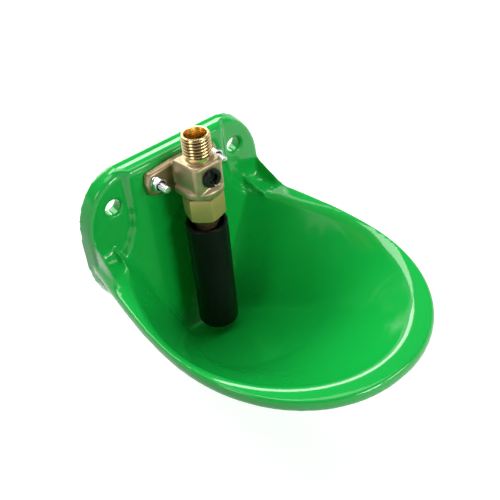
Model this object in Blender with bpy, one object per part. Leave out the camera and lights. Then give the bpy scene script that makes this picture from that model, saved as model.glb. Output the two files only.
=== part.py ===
"""Wall-hung drinking bowl for livestock: a moulded plastic bowl with a brass tube valve.

Metres, +Z up. The origin is on the wall plane, midway between the two wall screws.
The bowl reaches forward along -Y, and +X is to the right of someone facing it.
"""

import math

import bmesh
import bpy
from mathutils import Matrix, Vector

MM = 0.001
FIT_GAP = 0.3 * MM
SKIN = 0.02 * MM
AXIS_MARK = 30.0 * MM
SMOOTH_ANGLE = math.radians(35)

# Bowl: wall thickness, rim and basin
BOWL_WALL = 4.0 * MM
EGG_FRONT_STEPS = 36
EGG_SIDE_STEPS = 9
EGG_BACK_STEPS = 4
RIM_DROP = 40.0 * MM
RIM_HALF_WIDTH = 95.0 * MM
RIM_WIDEST_Y = 118.0 * MM
RIM_REACH = 233.0 * MM
RIM_POWER = 2.1
RIM_BACK_HALF_WIDTH = 81.0 * MM
RIM_SKIRT = 9.5 * MM
RIM_EDGE_RADIUS = 3.5 * MM
BASIN_HALF_WIDTH = 89.0 * MM
BASIN_WIDEST_Y = 115.0 * MM
BASIN_REACH = 215.5 * MM
BASIN_POWER = 1.95
BASIN_BACK_HALF_WIDTH = 52.5 * MM
BASIN_DEPTH = 116.0 * MM
BASIN_LIP_RADIUS = 4.0 * MM
FLOOR_HALF_WIDTH = 41.0 * MM
FLOOR_WIDEST_Y = 100.0 * MM
FLOOR_REACH = 146.0 * MM
FLOOR_BACK_HALF_WIDTH = 10.0 * MM
FLOOR_SLOPE = 0.47
FLOOR_FILLET = 8.0 * MM

# Back plate of the bowl
PLATE_DEPTH = 12.0 * MM
PLATE_TOP = 27.0 * MM
PLATE_HALF_WIDTH = 82.5 * MM
PLATE_SHOULDER_HALF_WIDTH = 46.0 * MM
PLATE_SHOULDER_DROP = 47.0 * MM
PLATE_DRAFT = 4.3 * MM
PLATE_EDGE = 4.5 * MM
PLATE_FOOT_HALF_WIDTH = 28.0 * MM
PLATE_FOOT_CORNER = 8.0 * MM
PAD_RAISE = 5.5 * MM
PAD_HALF_WIDTH = 41.0 * MM
PAD_RAMP = 10.0 * MM
PAD_FLARE = 30.0 * MM
PAD_BITE = 0.6 * MM
# Share of the flare's height, and share of the basin's extra width that is left there
PAD_FLARE_STEPS = ((0.25, 0.45), (0.6, 0.12), (1.0, 0.0))

# Wall screws, ribs and webs of the bowl
SCREW_SPACING = 113.0 * MM
SCREW_HOLE_RADIUS = 6.5 * MM
SCREW_BOSS_RADIUS = 11.0 * MM
BACK_RIB = 4.0 * MM
WEB_THICKNESS = 2.6 * MM
WEB_ROOT = 2.0 * MM
WEB_SAG = 0.18
INNER_WEB_OFFSET = 10.0 * MM
INNER_WEB_SPREAD = 3.5 * MM
OUTER_WEB_SPREAD = 4.5 * MM
INNER_WEB_LENGTH = 22.0 * MM
INNER_WEB_HEIGHT = 10.0 * MM
OUTER_WEB_LENGTH = 36.0 * MM
OUTER_WEB_HEIGHT = 22.0 * MM
POCKET_RADIUS = 10.0 * MM

# Valve body casting
VALVE_FLANGE = 5.4 * MM
FLANGE_HALF_WIDTH = 33.4 * MM
FLANGE_TOP = 22.2 * MM
FLANGE_SHOULDER = 20.4 * MM
FLANGE_SHOULDER_X = 30.8 * MM
FLANGE_SHOULDER_RADIUS = 3.5 * MM
FLANGE_SIDE_RADIUS = 12.0 * MM
FLANGE_FOOT = 0.8 * MM
FLANGE_FOOT_X = 31.3 * MM
FLANGE_FOOT_RADIUS = 5.0 * MM
FLANGE_BOTTOM = -4.6 * MM
FLANGE_MIDDLE_X = 8.0 * MM
FLANGE_MIDDLE_RADIUS = 10.0 * MM
FLANGE_BEVEL = 1.5 * MM
AXIS_TO_FLANGE = 19.9 * MM
BLOCK_BACK = 12.0 * MM
BLOCK_BACK_HALF_WIDTH = 14.6 * MM
BLOCK_HALF_WIDTH = 13.0 * MM
BLOCK_FRONT = 12.8 * MM
BLOCK_FLAT = 8.0 * MM
BLOCK_TOP = 30.0 * MM
BLOCK_BEVEL = 1.2 * MM
BRIDGE_HALF_WIDTH = 9.5 * MM
BRIDGE_TOP = 21.0 * MM
COLLAR_BOTTOM = 3.0 * MM
COLLAR_HEIGHT = 6.2 * MM
COLLAR_RADIUS = 16.2 * MM
COLLAR_BACK = 11.5 * MM
COLLAR_FLARE = 3.6 * MM
COLLAR_FLARE_HEIGHT = 2.4 * MM
INLET_RADIUS = 10.48 * MM
INLET_LENGTH = 20.0 * MM
INLET_EDGE = 0.8 * MM
INLET_BORE = 8.0 * MM
PASSAGE_RADIUS = 5.0 * MM
PASSAGE_LENGTH = 4.0 * MM
SPRING_BORE = 8.0 * MM
CHAMBER_RADIUS = 10.6 * MM
CHAMBER_TOP = 16.0 * MM

# Hexagon outlet nut and its gasket
NUT_ACROSS_FLATS = 27.0 * MM
NUT_HEIGHT = 19.4 * MM
NUT_TURN = 14.0
NUT_CHAMFER = 1.0 * MM
NUT_NECK_RADIUS = 10.5 * MM
NUT_NECK_LENGTH = 6.0 * MM
SPOUT_RADIUS = 8.5 * MM
SPOUT_LENGTH = 6.0 * MM
SPOUT_BORE = 7.2 * MM
SPIGOT_LENGTH = 5.0 * MM
SEAT_RADIUS = 4.8 * MM
SEAT_BORE = 3.6 * MM
SEAT_LIP = 0.6 * MM
SEAT_PLATE = 2.0 * MM
GASKET = 0.8 * MM
GASKET_RADIUS = 14.2 * MM

# Plunger, seal and spring
SEAL_RADIUS = 8.2 * MM
SEAL_THICKNESS = 2.5 * MM
SEAT_GAP = 0.6 * MM
HEAD_THICKNESS = 1.8 * MM
STEM_RADIUS = 2.5 * MM
STEM_TIP = 2.6 * MM
STEM_COLLAR_RADIUS = 3.8 * MM
STEM_COLLAR = 2.0 * MM
STEM_PROUD = 1.5 * MM
STEM_CHAMFER = 0.5 * MM
SPRING_RADIUS = 6.2 * MM
SPRING_WIRE = 0.45 * MM
SPRING_TURNS = 5
SPRING_CLOSED_TURNS = 0.75
SPRING_CLOSED_PITCH = 1.05 * MM
SPRING_SIDES = 11

# Push tube that the animal moves
TUBE_RADIUS = 16.0 * MM
TUBE_WALL = 2.5 * MM
TUBE_EDGE = 1.8 * MM
TUBE_BREAK = 0.6 * MM
TUBE_LENGTH = 99.0 * MM
TUBE_GAP = 8.0 * MM
HUB_RADIUS = 5.5 * MM
HUB_HEIGHT = 6.0 * MM
HUB_DROP = 20.0 * MM
HUB_ARM = 3.0 * MM
HUB_ARMS = 3
LOCK_NUT_FLATS = 8.0 * MM
LOCK_NUT_HEIGHT = 4.0 * MM
HUB_WASHER = 1.0 * MM

# Flow screw in the front of the valve body
FLOW_Z = 19.0 * MM
FLOW_HEAD_RADIUS = 7.4 * MM
FLOW_HEAD = 2.4 * MM
FLOW_SHANK_RADIUS = 6.2 * MM
FLOW_SOCKET_RADIUS = 3.9 * MM
FLOW_SOCKET_DEPTH = 3.6 * MM
FLOW_SLOT = 2.2 * MM
FLOW_SLOT_TURN = 12.0
FLOW_EDGE = 0.5 * MM
FLOW_GROOVE = 1.9 * MM
FLOW_GROOVE_BACK = 1.7 * MM
O_RING_WIRE = 0.65 * MM

# Bolts that hold the valve to the bowl
STUD_SPACING = 52.0 * MM
STUD_Z = 12.8 * MM
STUD_RADIUS = 3.0 * MM
STUD_PROUD = 7.9 * MM
STUD_HEAD_FLATS = 10.0 * MM
STUD_HEAD_HEIGHT = 4.0 * MM
STUD_NUT_FLATS = 10.0 * MM
STUD_NUT_HEIGHT = 5.2 * MM
STUD_CHAMFER = 0.6 * MM
WASHER_RADIUS = 6.2 * MM
FLAT_WASHER = 1.6 * MM
SPRING_WASHER = 1.6 * MM
SPRING_WASHER_RADIUS = 5.0 * MM
SPRING_WASHER_SLIT = 1.0 * MM

# Levels and planes that follow from the sizes
RIM_Z = -RIM_DROP
BASIN_BACK_Y = PLATE_DEPTH / 2
FLOOR_Z = RIM_Z - BASIN_DEPTH
WALL_SHARES = (0, 0.3, 0.6, 0.8, 0.88, 0.95, 1.02, 1.14)
PLATE_BOTTOM = FLOOR_Z - BOWL_WALL - 2 * MM
PLATE_FRONT_Y = -PLATE_DEPTH
PAD_Y = PLATE_FRONT_Y - PAD_RAISE
FLANGE_BACK_Y = PAD_Y - FIT_GAP
FLANGE_FRONT_Y = FLANGE_BACK_Y - VALVE_FLANGE
AXIS_Y = FLANGE_FRONT_Y - AXIS_TO_FLANGE
BLOCK_FRONT_Y = AXIS_Y - BLOCK_FRONT
INLET_TOP = BLOCK_TOP + INLET_LENGTH
NUT_TOP = COLLAR_BOTTOM - GASKET - 2 * FIT_GAP
NUT_BOTTOM = NUT_TOP - NUT_HEIGHT
SEAT_TOP = NUT_TOP + SPIGOT_LENGTH + SEAT_LIP
SEAL_BOTTOM = SEAT_TOP + SEAT_GAP
PIVOT_Z = SEAL_BOTTOM
HEAD_BOTTOM = SEAL_BOTTOM + SEAL_THICKNESS + FIT_GAP
HEAD_TOP = HEAD_BOTTOM + HEAD_THICKNESS
SHOULDER_Z = BLOCK_TOP - PASSAGE_LENGTH
TUBE_TOP = NUT_BOTTOM - TUBE_GAP
TUBE_BOTTOM = TUBE_TOP - TUBE_LENGTH
HUB_TOP = TUBE_TOP - HUB_DROP
HUB_BOTTOM = HUB_TOP - HUB_HEIGHT
VALVE_AXIS = Matrix.Translation((0, AXIS_Y, 0))


def material(name, colour, roughness, metallic=0.0):
    """A Principled material with one colour."""
    made = bpy.data.materials.new(name)
    made.use_nodes = True
    shader = made.node_tree.nodes["Principled BSDF"]
    shader.inputs["Base Color"].default_value = (*colour, 1.0)
    shader.inputs["Roughness"].default_value = roughness
    shader.inputs["Metallic"].default_value = metallic
    made.diffuse_color = (*colour, 1.0)
    return made


def finish(name, shape, finish_material):
    """Turns a bmesh into an object of the scene."""
    bmesh.ops.remove_doubles(shape, verts=shape.verts, dist=1e-6)
    bmesh.ops.recalc_face_normals(shape, faces=shape.faces)
    mesh = bpy.data.meshes.new(name)
    shape.to_mesh(mesh)
    shape.free()
    mesh.shade_smooth()
    mesh.set_sharp_from_angle(angle=SMOOTH_ANGLE)
    made = bpy.data.objects.new(name, mesh)
    bpy.context.scene.collection.objects.link(made)
    if finish_material:
        made.data.materials.append(finish_material)
    return made


def follow(child, parent):
    """Parents an object and leaves it where it is."""
    child.parent = parent
    child.matrix_parent_inverse = parent.matrix_world.inverted()


def combine(target, operation, tools):
    """Adds a Boolean modifier for each tool, and hangs the hidden tools on the target."""
    for tool in tools:
        modifier = target.modifiers.new(f"{operation.lower()} {tool.name}", "BOOLEAN")
        modifier.operation = operation
        modifier.solver = "EXACT"
        modifier.object = tool
        tool.hide_render = True
        tool.display_type = "WIRE"
        follow(tool, target)


def hang_on_axis(name, place, pieces):
    """An empty on a joint's axis that carries the pieces which move about it."""
    axis = bpy.data.objects.new(name, None)
    axis.empty_display_size = AXIS_MARK
    bpy.context.scene.collection.objects.link(axis)
    axis.matrix_world = place
    for piece in pieces:
        follow(piece, axis)


def lofted(name, rings, finish_material=None):
    """A closed solid through rings of points, with flat ends."""
    shape = bmesh.new()
    rows = [[shape.verts.new(point) for point in ring] for ring in rings]
    count = len(rows[0])
    for low, high in zip(rows, rows[1:]):
        for i in range(count):
            shape.faces.new((low[i], low[(i + 1) % count], high[(i + 1) % count], high[i]))
    shape.faces.new(list(reversed(rows[0])))
    shape.faces.new(rows[-1])
    return finish(name, shape, finish_material)


def turned(name, profile, finish_material=None, steps=32, place=None):
    """A turned solid: (radius, height) points spun about its own Z, in the frame of place."""
    shape = bmesh.new()
    points = [shape.verts.new((radius, 0, height)) for radius, height in profile]
    edges = [shape.edges.new(pair) for pair in zip(points, points[1:])]
    if profile[0][0] > 0 or profile[-1][0] > 0:
        edges.append(shape.edges.new((points[-1], points[0])))
    bmesh.ops.spin(
        shape, geom=points + edges, cent=(0, 0, 0), axis=(0, 0, 1),
        angle=2 * math.pi, steps=steps, use_merge=True, use_duplicate=False,
    )
    made = finish(name, shape, finish_material)
    made.matrix_world = place or Matrix()
    return made


def extruded(name, outline, depth, finish_material=None, place=None):
    """A prism: (x, y) outline points pushed up by the depth, in the frame of place."""
    shape = bmesh.new()
    face = shape.faces.new([shape.verts.new((x, y, 0)) for x, y in outline])
    pushed = bmesh.ops.extrude_face_region(shape, geom=[face])
    moved = [v for v in pushed["geom"] if isinstance(v, bmesh.types.BMVert)]
    bmesh.ops.translate(shape, vec=(0, 0, depth), verts=moved)
    made = finish(name, shape, finish_material)
    made.matrix_world = place or Matrix()
    return made


def hexagon(name, flats, height, chamfer, finish_material, bore=0.0, place=None):
    """A hexagon prism on its own Z, its corners turned off at both ends, and bored."""
    corner = flats / math.sqrt(3)
    outline = [
        (corner * math.cos(math.radians(turn)), corner * math.sin(math.radians(turn)))
        for turn in range(0, 360, 60)
    ]
    made = extruded(name, outline, height, finish_material, place)
    drawn_in = corner - chamfer * math.tan(math.radians(60))
    outside = corner + FIT_GAP
    blank = turned(f"{name}_blank", [
        (0, height + SKIN), (drawn_in, height + SKIN), (outside, height - chamfer),
        (outside, chamfer), (drawn_in, -SKIN), (0, -SKIN),
    ], steps=48, place=place)
    combine(made, "INTERSECT", [blank])
    if bore:
        hole = turned(f"{name}_bore", rod(bore, -MM, height + MM), steps=24, place=place)
        combine(made, "DIFFERENCE", [hole])
    return made


def rod(radius, low, high):
    """Profile of a plain solid cylinder for turned()."""
    return [(0, high), (radius, high), (radius, low), (0, low)]


def tube(outer, inner, low, high):
    """Profile of a plain ring for turned()."""
    return [(inner, high), (outer, high), (outer, low), (inner, low)]


def facing_front(x, y, z):
    """A frame at a point, whose own Z points forward along -Y."""
    return Matrix.Translation((x, y, z)) @ Matrix.Rotation(math.radians(90), 4, "X")


FLOW_AXIS = facing_front(0, BLOCK_FRONT_Y, FLOW_Z)


def mirrored(outline):
    """Half an outline of (x, y) points and its mirror image across x 0, going on round."""
    return outline + [(-x, y) for x, y in reversed(outline)]


def smooth_step(value):
    """0 to 1 with level ends."""
    value = min(1.0, max(0.0, value))
    return value * value * (3 - 2 * value)


def soft_max(first, second, blend):
    """The larger of two heights, rounded over where they are closer than the blend."""
    near = max(0.0, 1 - abs(first - second) / blend)
    return max(first, second) + near * near * blend / 4


def egg(half, widest, reach, power, back_half):
    """(x, y) of a ring of the bowl: a rounded front, and sides that draw in to the wall."""
    front = []
    for i in range(EGG_FRONT_STEPS + 1):
        turn = math.pi * i / EGG_FRONT_STEPS
        across = math.copysign(abs(math.cos(turn)) ** (2 / power), math.cos(turn))
        forward = abs(math.sin(turn)) ** (2 / power)
        front.append(Vector((half * across, -widest - (reach - widest) * forward)))
    right = []
    for i in range(1, EGG_SIDE_STEPS + 1):
        share = 1 - i / EGG_SIDE_STEPS
        x = back_half + (half - back_half) * math.sin(share * math.pi / 2)
        right.append(Vector((x, -BASIN_BACK_Y - (widest - BASIN_BACK_Y) * share)))
    left = [Vector((-point.x, point.y)) for point in right]
    back = [
        Vector((back_half * (2 * i / EGG_BACK_STEPS - 1), -BASIN_BACK_Y))
        for i in range(1, EGG_BACK_STEPS)
    ]
    return front + left + back + right[::-1]


def floor_level(y):
    """Height of the basin floor, which rises from the wall to the front."""
    return RIM_Z - BASIN_DEPTH + FLOOR_SLOPE * (-y - BASIN_BACK_Y)


def basin_ring(share, grow=0.0):
    """A ring of the basin's surface, from the lip (0) past the foot of the wall (1) to the floor."""
    top = egg(
        BASIN_HALF_WIDTH + grow, BASIN_WIDEST_Y, BASIN_REACH + grow, BASIN_POWER,
        BASIN_BACK_HALF_WIDTH + grow,
    )
    foot = egg(
        FLOOR_HALF_WIDTH + grow, FLOOR_WIDEST_Y, FLOOR_REACH + grow, BASIN_POWER,
        FLOOR_BACK_HALF_WIDTH + grow,
    )
    high = RIM_Z - BASIN_LIP_RADIUS
    ring = []
    for upper, lower in zip(top, foot):
        x, y = upper + (lower - upper) * share
        wall = high + (floor_level(lower.y) - high) * share
        level = floor_level(y)
        if share < WALL_SHARES[-1]:
            level = soft_max(wall, level, FLOOR_FILLET)
        ring.append(Vector((x, y, level - grow * min(1.0, share))))
    return ring


def lip_ring(height, grow):
    """A level ring at the top of the basin, at a height over the rim deck."""
    outline = egg(
        BASIN_HALF_WIDTH + grow, BASIN_WIDEST_Y, BASIN_REACH + grow, BASIN_POWER,
        BASIN_BACK_HALF_WIDTH + grow,
    )
    return [Vector((x, y, RIM_Z + height)) for x, y in outline]


def rim_ring(z, inset):
    """A level ring of the rim's outer edge."""
    outline = egg(
        RIM_HALF_WIDTH - inset, RIM_WIDEST_Y, RIM_REACH - inset, RIM_POWER,
        RIM_BACK_HALF_WIDTH - inset,
    )
    return [Vector((x, y, z)) for x, y in outline]


def plate_outline(inset, arc_steps=9):
    """Outline of the back plate: (x, z) from the top centre down one side and up the other."""
    half = []
    top, foot = PLATE_TOP - inset, PLATE_BOTTOM + inset
    side_z = PLATE_TOP - PLATE_SHOULDER_DROP
    shoulder = PLATE_HALF_WIDTH - inset - PLATE_SHOULDER_HALF_WIDTH
    for i in range(arc_steps + 1):
        turn = math.pi / 2 * i / arc_steps
        x = PLATE_SHOULDER_HALF_WIDTH + shoulder * math.sin(turn)
        half.append((x, side_z + (top - side_z) * math.cos(turn)))
    side_low = RIM_Z - RIM_SKIRT
    half.append((PLATE_HALF_WIDTH - inset, (side_z + side_low) / 2))
    draw_in = PLATE_FOOT_HALF_WIDTH - PLATE_HALF_WIDTH
    for i in range(arc_steps + 1):
        share = i / arc_steps
        x = PLATE_HALF_WIDTH + draw_in * smooth_step(share * 0.9) / smooth_step(0.9)
        half.append((x - inset, side_low + (foot + PLATE_FOOT_CORNER - side_low) * share))
    half.append((PLATE_FOOT_HALF_WIDTH - inset - PLATE_FOOT_CORNER * 0.75, foot))
    return mirrored(half)


def plate_ring(y, inset):
    return [Vector((x, y, z)) for x, z in plate_outline(inset)]


def bowl_shell(finish_material):
    """The green moulding: basin, rim, webs and the hollow back plate in one piece."""
    outer = lofted(
        "bowl_shell",
        [basin_ring(share, BOWL_WALL) for share in reversed(WALL_SHARES)]
        + [lip_ring(-RIM_EDGE_RADIUS / 2, BOWL_WALL)],
        finish_material,
    )
    skirt_z, deck_z = RIM_Z - RIM_SKIRT, RIM_Z
    bend = RIM_EDGE_RADIUS * (1 - math.cos(math.radians(45)))
    rim = lofted("rim_blank", [
        rim_ring(skirt_z, 0),
        rim_ring(deck_z - RIM_EDGE_RADIUS, 0),
        rim_ring(deck_z - bend, bend),
        rim_ring(deck_z, RIM_EDGE_RADIUS),
    ])
    under = lofted("rim_hollow", [
        rim_ring(skirt_z - MM, BOWL_WALL),
        rim_ring(deck_z - BOWL_WALL, BOWL_WALL),
    ])
    combine(rim, "DIFFERENCE", [under])
    lip = BASIN_LIP_RADIUS
    lip_bend = lip * (1 - math.cos(math.radians(45)))
    inside = lofted(
        "basin_hollow",
        [basin_ring(share) for share in reversed(WALL_SHARES)]
        + [lip_ring(-lip_bend, lip_bend), lip_ring(0, lip), lip_ring(MM, lip)],
    )
    combine(outer, "UNION", [rim])
    combine(outer, "DIFFERENCE", [inside])
    combine(outer, "UNION", [back_plate(), centre_pad(), *webs()])
    combine(outer, "DIFFERENCE", [*back_hollows()])
    combine(outer, "UNION", [*wall_bosses(), back_rib()])
    combine(outer, "DIFFERENCE", [*wall_holes(), *stud_holes()])
    return outer


def back_plate():
    """The upright plate, its front edge rounded in two steps."""
    edge = PLATE_DRAFT / 2
    return lofted("plate_blank", [
        plate_ring(0, 0),
        plate_ring(PLATE_FRONT_Y + edge, PLATE_DRAFT - edge),
        plate_ring(PLATE_FRONT_Y + edge * 0.3, PLATE_DRAFT - edge * 0.3),
        plate_ring(PLATE_FRONT_Y, PLATE_DRAFT + edge * 0.4),
    ])


def pad_section(half, ramp, front_y, back_y, steps=4):
    """(x, y) section of the raised middle of the back plate, with soft sides."""
    right = []
    for i in range(steps + 1):
        share = i / steps
        right.append((half + ramp * (1 - share), back_y + (front_y - back_y) * smooth_step(share)))
    return mirrored(right)


def basin_corner(share):
    """(half width, height) where a ring of the basin meets the face of the pad."""
    right = basin_ring(share)[-EGG_SIDE_STEPS:]
    for near, far in zip(right, right[1:]):
        if far.y <= PAD_Y:
            corner = near.lerp(far, (PAD_Y - near.y) / (far.y - near.y))
            return corner.x, corner.z
    return right[-1].x, right[-1].z


def pad_levels():
    """(height, half width, ramp) of the raised middle, from under the basin to the plate's top."""
    narrow, low = basin_corner(1.0)
    wide, high = basin_corner(0.0)
    steep = PAD_RAMP / 3
    levels = [
        (floor_level(PLATE_FRONT_Y) - MM, narrow + PAD_BITE, steep),
        (low, narrow + PAD_BITE, steep),
        (high, wide + PAD_BITE, steep),
    ]
    for rise, share in PAD_FLARE_STEPS:
        half = PAD_HALF_WIDTH + (wide - PAD_HALF_WIDTH) * share
        levels.append((RIM_Z + PAD_FLARE * rise, half, PAD_RAMP + (steep - PAD_RAMP) * share))
    return levels


def centre_pad():
    """The raised middle of the back plate, which carries the valve and closes the basin."""
    edge = PLATE_DRAFT
    levels = [(z, half, ramp, 0.0) for z, half, ramp in pad_levels()]
    for drop, back in ((edge, 0.0), (edge * 0.3, edge * 0.3), (0.0, edge)):
        levels.append((PLATE_TOP - drop, PAD_HALF_WIDTH, PAD_RAMP, back))
    rings = []
    for z, half, ramp, back in levels:
        section = pad_section(half, ramp, PAD_Y + back, PLATE_FRONT_Y + edge)
        rings.append([Vector((x, y, z)) for x, y in section])
    return lofted("pad_blank", rings)


def web(name, x_back, x_front, length, height, side, steps=6):
    """One upright web between the ear and the rim, with a hollowed sloping top."""
    rings = []
    start_y = PLATE_FRONT_Y + WEB_ROOT
    thick, thin = WEB_THICKNESS / 2, WEB_THICKNESS / 4
    low = RIM_Z - BOWL_WALL / 2
    for i in range(steps + 1):
        share = i / steps
        y = start_y - (length + WEB_ROOT) * share
        x = x_back + (x_front - x_back) * share
        top = RIM_Z + height * (1 - share) * (1 - WEB_SAG * share) + FIT_GAP
        corners = ((x - thick, low), (x + thick, low), (x + thin, top), (x - thin, top))
        rings.append([Vector((side * across, y, z)) for across, z in corners])
    return lofted(name, rings)


def pocket(name, ends, steps=6):
    """The hollowed corner that joins the ear to the rim deck between two webs."""
    arc = []
    for i in range(steps + 1):
        turn = math.pi / 2 * i / steps
        arc.append((
            PLATE_FRONT_Y - POCKET_RADIUS * (1 - math.cos(turn)),
            RIM_Z + POCKET_RADIUS * (1 - math.sin(turn)),
        ))
    outline = arc + [
        (arc[-1][0], RIM_Z - MM), (PLATE_FRONT_Y + MM, RIM_Z - MM), (PLATE_FRONT_Y + MM, arc[0][1]),
    ]
    return lofted(name, [[Vector((x, y, z)) for y, z in outline] for x in ends])


def webs():
    """Inner and outer webs and the hollow between them, on both sides."""
    made = []
    inner = BASIN_BACK_HALF_WIDTH + INNER_WEB_OFFSET
    outer = RIM_BACK_HALF_WIDTH - WEB_THICKNESS / 2 - PLATE_DRAFT / 2
    for side, word in ((-1, "left"), (1, "right")):
        made.append(web(
            f"inner_web_{word}", inner, inner + INNER_WEB_SPREAD,
            INNER_WEB_LENGTH, INNER_WEB_HEIGHT, side,
        ))
        made.append(web(
            f"outer_web_{word}", outer, outer + OUTER_WEB_SPREAD,
            OUTER_WEB_LENGTH, OUTER_WEB_HEIGHT, side,
        ))
        ends = (side * (inner + WEB_THICKNESS / 3), side * (outer - WEB_THICKNESS / 6))
        made.append(pocket(f"pocket_{word}", ends))
    return made


def back_hollows():
    """What is cored out behind the plate: the ears' depth, and the deeper middle."""
    wide = lofted("plate_hollow", [
        plate_ring(MM, PLATE_EDGE),
        plate_ring(PLATE_FRONT_Y + BOWL_WALL, PLATE_EDGE + PLATE_DRAFT * 0.7),
    ])
    levels = pad_levels()
    levels[0] = (levels[0][0] + BOWL_WALL, *levels[0][1:])
    levels.append((PLATE_TOP - PLATE_EDGE - PLATE_DRAFT / 2, PAD_HALF_WIDTH, PAD_RAMP))
    rings = []
    for z, half, ramp in levels:
        section = pad_section(
            half - BOWL_WALL, ramp, PAD_Y + BOWL_WALL, PLATE_FRONT_Y + BOWL_WALL + MM / 2
        )
        rings.append([Vector((x, y, z)) for x, y in section])
    middle = lofted("pad_hollow", rings)
    limit = lofted("pad_hollow_limit", [
        plate_ring(MM, PLATE_EDGE + PLATE_DRAFT * 0.6),
        plate_ring(PAD_Y - MM, PLATE_EDGE + PLATE_DRAFT * 0.6),
    ])
    combine(middle, "INTERSECT", [limit])
    return wide, middle


def along_y(name, radius, front_y, back_y, x, z, steps=32):
    """A plain cylinder along Y, between two planes."""
    return turned(name, rod(radius, 0, back_y - front_y), steps=steps, place=facing_front(x, back_y, z))


def wall_bosses():
    """The sleeves that reach from the ears back to the wall."""
    for side, word in ((-1, "left"), (1, "right")):
        yield along_y(
            f"boss_{word}", SCREW_BOSS_RADIUS, PLATE_FRONT_Y + BOWL_WALL / 2, -FIT_GAP,
            side * SCREW_SPACING / 2, 0,
        )


def wall_holes():
    for side, word in ((-1, "left"), (1, "right")):
        yield along_y(
            f"wall_hole_{word}", SCREW_HOLE_RADIUS, PLATE_FRONT_Y - MM, MM,
            side * SCREW_SPACING / 2, 0,
        )


def stud_holes():
    for side, word in ((-1, "left"), (1, "right")):
        yield along_y(
            f"stud_hole_{word}", STUD_RADIUS + FIT_GAP, PAD_Y - MM, 0,
            side * STUD_SPACING / 2, STUD_Z, steps=20,
        )


def back_rib():
    """Level rib behind the plate that joins the two screw bosses on the wall plane."""
    far = SCREW_SPACING / 2 - SCREW_HOLE_RADIUS - MM
    shallow = PLATE_DEPTH - BOWL_WALL / 2
    deep = shallow + PAD_RAISE - MM
    outline = mirrored([
        (far, 0), (far, -shallow), (PAD_HALF_WIDTH, -shallow), (PAD_HALF_WIDTH - BOWL_WALL, -deep),
    ])
    return extruded("rib_blank", outline, BACK_RIB, place=Matrix.Translation((0, 0, -BACK_RIB / 2)))


def rounded(corners, steps=5):
    """An outline with rounded corners: (x, z, radius) for each corner, going round."""
    points = []
    count = len(corners)
    for i, (x, z, radius) in enumerate(corners):
        here = Vector((x, z))
        before = (Vector(corners[i - 1][:2]) - here).normalized()
        after = (Vector(corners[(i + 1) % count][:2]) - here).normalized()
        half_angle = before.angle(after) / 2
        centre = here + (before + after).normalized() * radius / math.sin(half_angle)
        start = here + before * radius / math.tan(half_angle) - centre
        end = here + after * radius / math.tan(half_angle) - centre
        turn = start.angle_signed(end)
        for k in range(steps + 1):
            spoke = start.copy()
            spoke.rotate(Matrix.Rotation(-turn * k / steps, 2))
            points.append(tuple(centre + spoke))
    return points


def flange_ring(y, inset):
    """Outline of the valve's flange, widest beside the bolts and deepest in the middle."""
    right = [
        (FLANGE_MIDDLE_X, FLANGE_TOP - inset, FLANGE_MIDDLE_RADIUS),
        (FLANGE_SHOULDER_X - inset, FLANGE_SHOULDER - inset, FLANGE_SHOULDER_RADIUS),
        (FLANGE_HALF_WIDTH - inset, STUD_Z - inset, FLANGE_SIDE_RADIUS),
        (FLANGE_FOOT_X - inset, FLANGE_FOOT + inset, FLANGE_FOOT_RADIUS),
        (FLANGE_MIDDLE_X, FLANGE_BOTTOM + inset, FLANGE_MIDDLE_RADIUS),
    ]
    left = [(-x, z, radius) for x, z, radius in reversed(right)]
    return [Vector((x, y, z)) for x, z in rounded(right + left)]


def on_valve_axis(outline, z):
    """(x, y) points about the valve's axis as a level ring: half an outline and its mirror."""
    return [Vector((x, AXIS_Y + y, z)) for x, y in mirrored(outline)]


def block_ring(z, inset, steps=6):
    """Plan of the valve block: a flat back, sides that draw in, round corners and a flat front."""
    radius = BLOCK_HALF_WIDTH - BLOCK_FLAT
    half = [(BLOCK_BACK_HALF_WIDTH - inset, BLOCK_BACK - inset)]
    for i in range(steps + 1):
        turn = math.pi / 2 * i / steps
        half.append((
            BLOCK_FLAT - inset + radius * math.cos(turn),
            radius - BLOCK_FRONT + inset - radius * math.sin(turn),
        ))
    return on_valve_axis(half, z)


def collar_ring(z, inset, steps=12):
    """Plan of the collar under the block: a half round with straight sides to a flat back."""
    radius = COLLAR_RADIUS - inset
    half = [(radius, COLLAR_BACK - inset / 2)]
    for i in range(steps):
        turn = math.pi / 2 * (i + 0.5) / steps
        half.append((radius * math.cos(turn), -radius * math.sin(turn)))
    return on_valve_axis(half, z)


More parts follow.
